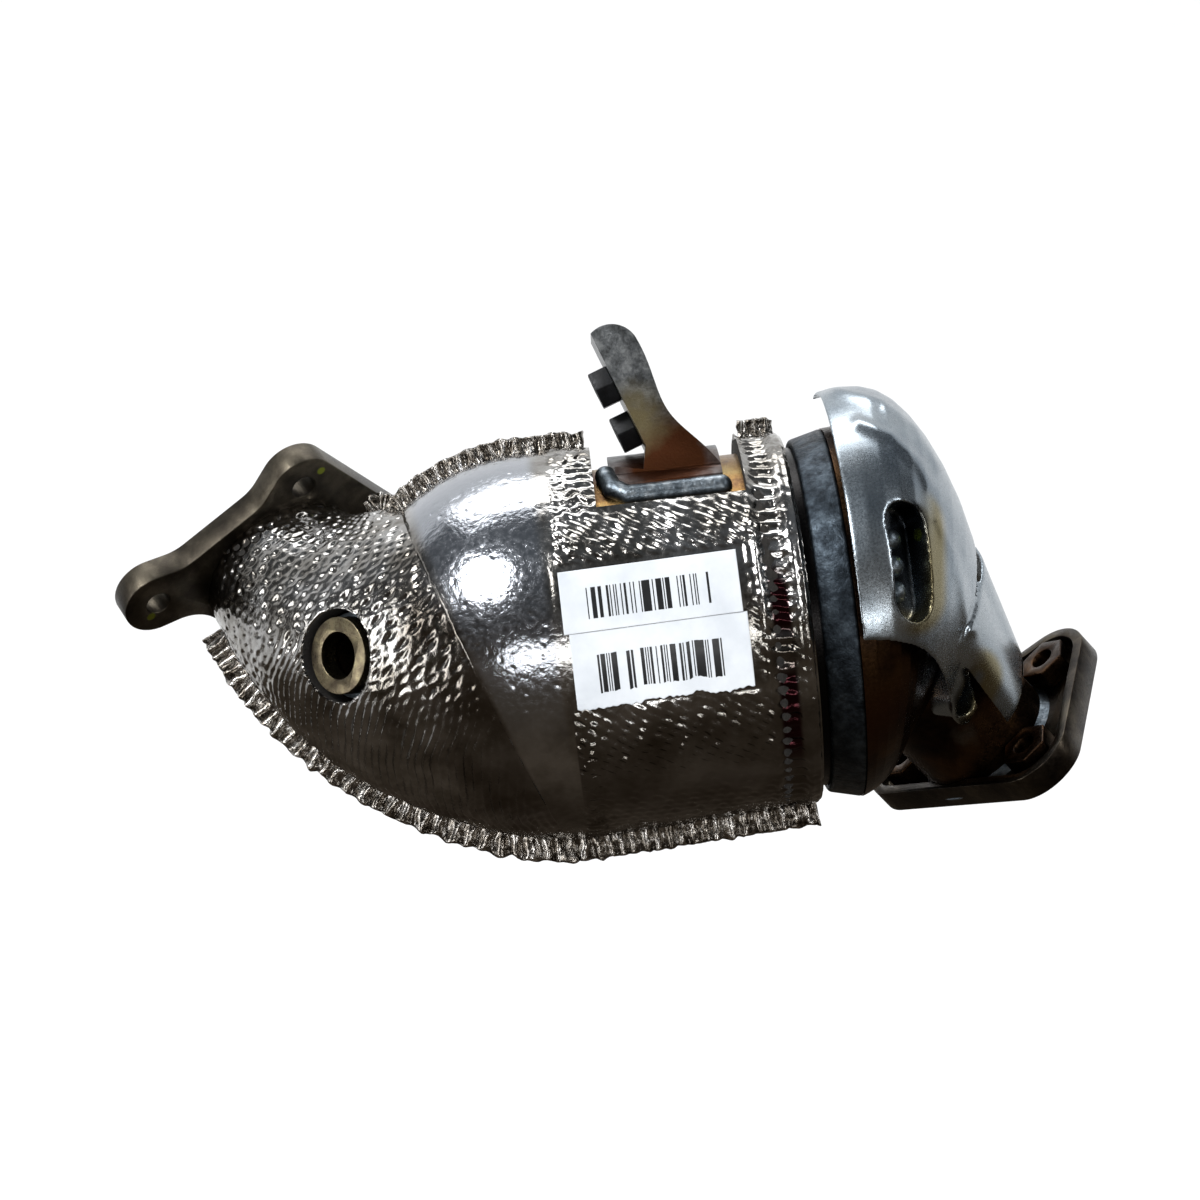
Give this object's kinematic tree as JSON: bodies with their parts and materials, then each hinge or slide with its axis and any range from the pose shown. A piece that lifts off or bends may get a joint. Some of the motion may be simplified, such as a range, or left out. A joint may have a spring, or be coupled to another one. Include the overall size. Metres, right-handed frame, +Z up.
{
  "type": "catalytic converter",
  "caption": "Close-coupled catalytic converter: foil-jacketed elbow and can with bolted inlet flange, sensor boss, bracket, heat shield and outlet cone to a pressed flange.",
  "frame": {"origin": "centre of the inlet port on the inlet flange's mating face", "axes": "+X along the can axis towards the outlet, +Z up, -Y the side that carries the labels and the sensor boss"},
  "size_m": [0.3557, 0.1625, 0.1903],
  "materials": {
    "flange_steel": "satin",
    "boss_steel": "machined",
    "weld_steel": "oxidised",
    "foil": "dimpled bright",
    "insulation": "fibrous",
    "inner_steel": "heat tinted",
    "can_steel": "heat tinted",
    "brick": "porous ceramic",
    "mat": "fibrous",
    "band_steel": "dark oxidised",
    "outlet_steel": "heat tinted",
    "tray_steel": "satin",
    "nut_steel": "black phosphate",
    "shield_steel": "bright aluminised",
    "bracket_steel": "galvanised",
    "label_film": "printed film"
  },
  "bodies": {
    "root": {"inlet_flange": "flange_steel", "inlet_flange_weld": "weld_steel", "sensor_boss": "boss_steel", "sensor_boss_weld": "weld_steel", "foil_shell_front": "foil", "foil_shell_rear": "foil", "insulation_front": "insulation", "insulation_rear": "insulation", "inner_cone_front": "inner_steel", "inner_cone_rear": "inner_steel", "can_shell": "can_steel", "catalyst_brick_front": "brick", "catalyst_brick_rear": "brick", "support_mat_front": "mat", "support_mat_rear": "mat", "can_band": "band_steel", "outlet_cone": "outlet_steel", "outlet_pipe": "outlet_steel", "outlet_flange": "tray_steel", "outlet_flange_weld": "weld_steel", "outlet_weld_nuts": "nut_steel", "heat_shield": "shield_steel", "shield_plug_welds": "weld_steel", "bracket": "bracket_steel", "bracket_weld": "weld_steel", "bracket_nuts": "nut_steel", "label_upper": "label_film", "label_lower": "label_film"}
  },
  "joints": []
}
